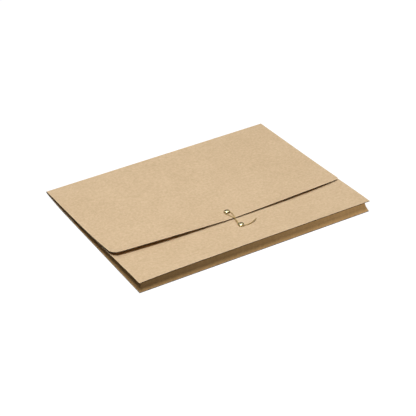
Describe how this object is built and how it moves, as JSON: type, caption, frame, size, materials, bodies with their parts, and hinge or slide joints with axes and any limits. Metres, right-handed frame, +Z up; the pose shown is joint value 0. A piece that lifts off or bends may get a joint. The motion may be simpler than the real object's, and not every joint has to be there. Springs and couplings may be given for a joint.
{
  "type": "document wallet",
  "caption": "Kraft card document wallet lying closed, with a wedge-shaped gusseted pocket, a long flap with rounded corners, and a string wound on metal rivets.",
  "frame": {"origin": "centre of the wallet's footprint, on the surface that it lies on", "axes": "+X to the right along the hinge fold, +Y from the pocket's closed front edge to the hinge fold, +Z up"},
  "size_m": [0.32, 0.24, 0.0163],
  "materials": {
    "card": "matte",
    "gusset_card": "matte",
    "rivet_metal": "satin",
    "string": "matte"
  },
  "bodies": {
    "root": {"wallet_body": "card", "front_panel": "card", "gusset": "gusset_card", "flap_rivet": "rivet_metal", "flap_rivet_back": "rivet_metal", "panel_rivet": "rivet_metal", "panel_rivet_back": "rivet_metal", "tie_string": "string"}
  },
  "joints": []
}
